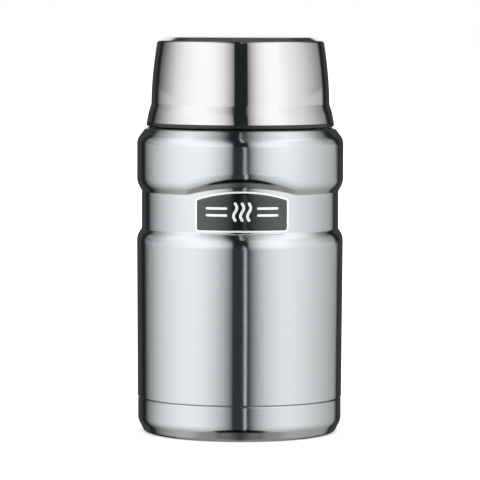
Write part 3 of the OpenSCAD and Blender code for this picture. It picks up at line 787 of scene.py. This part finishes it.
# Patches of even light, or of what is taken from it: their strength, and for turn, az or el the
# edges where they start and stop, if they do
FADE_HIGH = {"strength": 0.35, "el": ((45.0, 75.0), None)}
FADE_FAR_LEFT = {"strength": 0.8, "turn": ((80.0, 148.0), None), "el": ((10.0, 24.0), None)}
FADE_FAR_RIGHT = {"strength": 0.8, "turn": ((88.0, 148.0), None), "el": ((10.0, 24.0), None)}
FADE_FAR_LOW = {"strength": 0.42, "turn": ((80.0, 140.0), None), "el": ((0.6, 1.6), (10.0, 24.0))}
FLOOR_TOP = (-57.0, -55.0)
FLOOR_MIDDLE = {"strength": 0.046, "el": (None, FLOOR_TOP)}
FLOOR_SIDES = {"strength": 0.264, "turn": ((-6.0, 34.0), None), "el": (None, FLOOR_TOP)}
FLOOR_HIGHER = {"strength": 0.31, "turn": ((30.0, 44.0), None), "el": (FLOOR_TOP, None)}
HAZE = {"strength": 0.1, "az": ((1.5, 3.5), (14.0, 20.0)), "el": ((34.0, 42.0), (68.0, 78.0))}
REAR_STRIP = {"strength": 0.9, "turn": ((168.5, 171.0), None),
              "el": ((-50.0, -10.0), (26.0, 34.0))}
REAR_UPPER = {"strength": 0.055, "turn": ((140.0, 150.0), None),
              "el": ((33.0, 38.0), (75.0, 80.0))}
REAR_EDGES = {"strength": 0.036, "turn": ((141.0, 149.0), None), "el": ((-36.0, -30.0), None)}

# The thin bright line in the gap: heights and az of its two slanting stretches, its edge on
# either side of its middle, and the heights between which it is left out
LINE = {"strength": 0.7, "el": ((-37.0, -30.0), (72.0, 80.0))}
LINE_LOW_EL, LINE_LOW_AZ = (-5.5, -1.5), (5.4, 3.4)
LINE_HIGH_EL, LINE_HIGH_AZ = (20.0, 75.0), (0.0, -4.2)
LINE_EDGE = (0.8, 1.7)
LINE_STOPS, LINE_GOES_ON = (-1.0, 1.0), (36.0, 42.0)

# What little comes from everywhere else
FAINT_EVERYWHERE = 0.003
FAINT = {"strength": 0.018, "el": ((-36.0, -30.0), None)}
FAINT_FRONT = {"strength": 0.024, "turn": (None, (15.0, 30.0)), "el": ((-36.0, -30.0), LEVEL)}

BOX_COLOUR = (0.985, 1.0, 1.01, 1.0)
FAINT_COLOUR = (0.78, 1.10, 1.14, 1.0)
WHITE = (1.0, 1.0, 1.0, 1.0)


class Studio(Nodes):
    """Two tall soft boxes left and right of the camera with a narrow dark gap between them, dark
    beyond their far ends but for a strip right behind the jar, and a dimmer floor."""

    def __init__(self, tree):
        super().__init__(tree)
        way = self.add("ShaderNodeTexCoord").outputs["Generated"]
        x, y, z = self.add("ShaderNodeSeparateXYZ", {0: way}).outputs
        degrees = 180 / math.pi
        self.az = self.both(self.math("ARCTAN2", x, self.both(y, -1.0)), degrees)
        self.el = self.both(self.math("ARCSINE", z), degrees)
        self.turn = self.math("ABSOLUTE", self.az)
        self.right = self.step(self.az, (-1.0, 1.0))
        self.top_half = self.step(self.el, HALVES)
        self.overhead = self.step(self.el, OVERHEAD)
        lean = self.either(self.leaning(LEAN_LEFT), self.leaning(LEAN_RIGHT), self.right)
        self.near = self.both(self.turn, self.no(lean))     # turn as the leaning boxes have it
        sinking = self.math("MULTIPLY_ADD", self.turn, LOW_EDGE_SLOPE, LOW_EDGE_EL)
        over_edge = self.math("SUBTRACT", self.el, self.math("MAXIMUM", sinking, LOW_EDGE_LOWEST))
        self.above_edge = self.step(over_edge, LOW_EDGE_SOFT)

    def no(self, value):
        return self.math("SUBTRACT", 1.0, value)

    def both(self, a, b, *more):
        value = self.math("MULTIPLY", a, b)
        return self.both(value, *more) if more else value

    def total(self, a, b, *more):
        value = self.math("ADD", a, b)
        return self.total(value, *more) if more else value

    def either(self, a, b, factor):
        """a where the factor is 0, b where it is 1."""
        return self.total(self.both(a, self.no(factor)), self.both(b, factor))

    def by_side(self, value, left, right):
        """A step with one edge on the left of the jar and another on its right."""
        return self.either(self.step(value, left), self.step(value, right), self.right)

    def leaning(self, stretches):
        return self.total(*[self.range(self.el, ends, (0.0, add)) for ends, add in stretches])

    def box(self, centre, inner, outer, strength):
        """Brightness of a box that falls off to both sides of its centre."""
        falls = []
        for off, (width, power) in ((self.math("SUBTRACT", centre, self.near), inner),
                                    (self.math("SUBTRACT", self.near, centre), outer)):
            share = self.math("DIVIDE", self.math("MAXIMUM", off, 0.0), width)
            falls.append(self.math("POWER", share, power))
        return self.both(self.math("MAXIMUM", self.no(self.total(*falls)), 0.0), strength)

    def patch(self, strength, **edges):
        """Even light between edges in the angles that are named, open where an edge is None."""
        parts = []
        for name, (start, stop) in edges.items():
            angle = getattr(self, name)
            if start:
                parts.append(self.step(angle, start))
            if stop:
                parts.append(self.no(self.step(angle, stop)))
        return self.both(*parts, strength)

    def fading(self):
        """The boxes' upper halves are weaker high up and towards their far ends."""
        far = self.either(self.patch(**FADE_FAR_LEFT), self.patch(**FADE_FAR_RIGHT), self.right)
        return self.both(self.no(self.patch(**FADE_HIGH)), self.no(far),
                         self.no(self.patch(**FADE_FAR_LOW)))

    def boxes(self):
        top = self.either(self.box(**TOP_LEFT), self.box(**TOP_RIGHT), self.right)
        low = self.either(self.box(**LOW_LEFT), self.box(**LOW_RIGHT), self.right)
        light = self.either(low, self.both(top, self.fading()), self.top_half)
        left_gap = self.either(self.step(self.near, GAP_LEFT_LOW),
                               self.step(self.near, GAP_LEFT), self.step(self.el, LEVEL))
        gap = self.either(left_gap, self.step(self.near, GAP_RIGHT), self.right)
        gap = self.either(gap, self.by_side(self.near, GAP_LEFT_OVERHEAD, GAP_RIGHT_OVERHEAD),
                          self.overhead)
        end = self.either(self.step(self.turn, END_LEFT), self.step(self.turn, END_RIGHT_TOP),
                          self.both(self.right, self.top_half))
        end = self.either(end, self.step(self.turn, END_RIGHT_LOW),
                          self.both(self.right, self.no(self.top_half)))
        end = self.either(end, self.by_side(self.turn, END_LEFT_OVERHEAD, END_RIGHT_OVERHEAD),
                          self.overhead)
        ceiling = self.by_side(self.el, CEILING_LEFT, CEILING_RIGHT)
        return self.both(light, gap, self.no(end), self.no(ceiling),
                         self.range(self.el, WEAKER_EL, WEAKER), self.above_edge)

    def floor(self):
        """The grey floor far below, lighter to the sides, where it also shows higher up."""
        higher = self.both(self.no(self.above_edge), self.patch(**FLOOR_HIGHER))
        return self.total(self.patch(**FLOOR_MIDDLE), self.patch(**FLOOR_SIDES), higher)

    def line(self):
        """A thin bright line in the dark gap, which leans over to the left high up."""
        middle = self.total(self.range(self.el, LINE_LOW_EL, LINE_LOW_AZ),
                            self.range(self.el, LINE_HIGH_EL, LINE_HIGH_AZ))
        off = self.math("ABSOLUTE", self.math("SUBTRACT", self.az, middle))
        shown = self.math("MAXIMUM", self.step(self.el, LINE_GOES_ON),
                          self.no(self.step(self.el, LINE_STOPS)))
        return self.both(self.no(self.step(off, LINE_EDGE)), shown, self.patch(**LINE))

    def background(self, colour, strength):
        inputs = {"Color": colour, "Strength": strength}
        return self.add("ShaderNodeBackground", inputs).outputs[0]


def make_world():
    """The studio as the steel mirrors it, in front of a plain white that only the camera sees."""
    world = bpy.data.worlds.new("studio")
    bpy.context.scene.world = world
    world.use_nodes = True
    world.node_tree.nodes.clear()
    n = Studio(world.node_tree)
    patches = [n.patch(**patch) for patch in (HAZE, REAR_STRIP, REAR_UPPER, REAR_EDGES)]
    light = n.total(n.boxes(), n.floor(), n.line(), *patches)
    faint = n.total(FAINT_EVERYWHERE, n.patch(**FAINT), n.patch(**FAINT_FRONT))
    lit = n.add("ShaderNodeAddShader", {0: n.background(BOX_COLOUR, light),
                                        1: n.background(FAINT_COLOUR, faint)})
    seen = n.add("ShaderNodeLightPath").outputs["Is Camera Ray"]
    mixed = n.add("ShaderNodeMixShader", {0: seen, 1: lit.outputs[0],
                                          2: n.background(WHITE, 1.0)})
    n.add("ShaderNodeOutputWorld", {0: mixed.outputs[0]})


# The floor, in metres: its glow is painted light, stronger away from the jar and weaker near it,
# which paints shade round the jar; it lies just under the jar's foot
FLOOR_HALF_W = 12.0
FLOOR_DROP = 0.0001
FLOOR_GLOW_AWAY = (0.12, 0.6)
FLOOR_GLOW = (0.3, 1.0)
FLOOR_TONES = ((0.90, 0.90, 0.90, 1.0), (0.93, 0.93, 0.93, 1.0))


def make_floor():
    """A wide white floor that catches the jar's soft shadow but isn't mirrored in the steel.  Its
    glow is painted light, weaker near the jar, so the floor is painted darker round it.
    """
    half = FLOOR_HALF_W
    mesh = bpy.data.meshes.new("floor")
    mesh.from_pydata([(-half, -half, 0), (half, -half, 0), (half, half, 0), (-half, half, 0)], [],
                     [(0, 1, 2, 3)])
    obj = bpy.data.objects.new("floor", mesh)
    bpy.context.scene.collection.objects.link(obj)
    mat, n, shader, place = new_material("floor", Roughness=0.9, Specular_IOR_Level=0.0,
                                         Emission_Color=WHITE)
    away = n.add("ShaderNodeVectorMath", {0: place}, operation="LENGTH").outputs["Value"]
    speck = n.noise(place, scale=9.0, detail=3.0, rough=0.5)
    # painted light: the floor glows less near the jar, painting shade round it, and more away from
    # it
    n.put(shader, {
        "Base Color": n.mix(speck, *FLOOR_TONES),
        "Emission Strength": n.range(away, FLOOR_GLOW_AWAY, FLOOR_GLOW)})
    mesh.materials.append(mat)
    obj.location.z = -FLOOR_DROP
    obj.visible_glossy = False


def make_light(name, size, power, place):
    """A large soft light that fills the floor and the dark parts but isn't mirrored in steel."""
    data = bpy.data.lights.new(name, "AREA")
    data.shape = "DISK"
    data.size = size
    data.energy = power
    obj = bpy.data.objects.new(name, data)
    bpy.context.scene.collection.objects.link(obj)
    obj.location = place
    inwards = Vector((0, 0, 0)) - Vector(place)
    obj.rotation_euler = inwards.to_track_quat("-Z", "Y").to_euler()
    obj.visible_glossy = False
    obj.visible_camera = False


make_world()
make_floor()
make_light("overhead", size=3.0, power=60.0, place=(0.0, -0.6, 2.4))

# ---- Camera, in metres and degrees -----------------------------------------------------------
PHOTO_PX = 480
FOCAL_PX = 3550.0
SENSOR_MM = 36.0
AZIMUTH = -1.2
ELEVATION = 3.91
ROLL = 0.2
DISTANCE = 1.79
TARGET = Vector((0.00006, 0.0, 0.0966))
SEES_TO = 100.0


def make_camera():
    data = bpy.data.cameras.new("camera")
    data.sensor_width = SENSOR_MM
    data.lens = FOCAL_PX / PHOTO_PX * SENSOR_MM
    data.clip_end = SEES_TO
    camera = bpy.data.objects.new("camera", data)
    bpy.context.scene.collection.objects.link(camera)
    a, e = math.radians(AZIMUTH), math.radians(ELEVATION)
    back_way = Vector((math.sin(a) * math.cos(e), -math.cos(a) * math.cos(e), math.sin(e)))
    camera.location = TARGET + back_way * DISTANCE
    camera.rotation_euler = (-back_way).to_track_quat("-Z", "Y").to_euler()
    camera.rotation_euler.rotate_axis("Z", math.radians(ROLL))
    bpy.context.scene.camera = camera


def set_tones():
    """Colours are shown as they are, without a film look."""
    view = bpy.context.scene.view_settings
    view.view_transform = "Standard"
    view.look = "None"
    view.exposure = 0.0
    view.gamma = 1.0


make_camera()
set_tones()
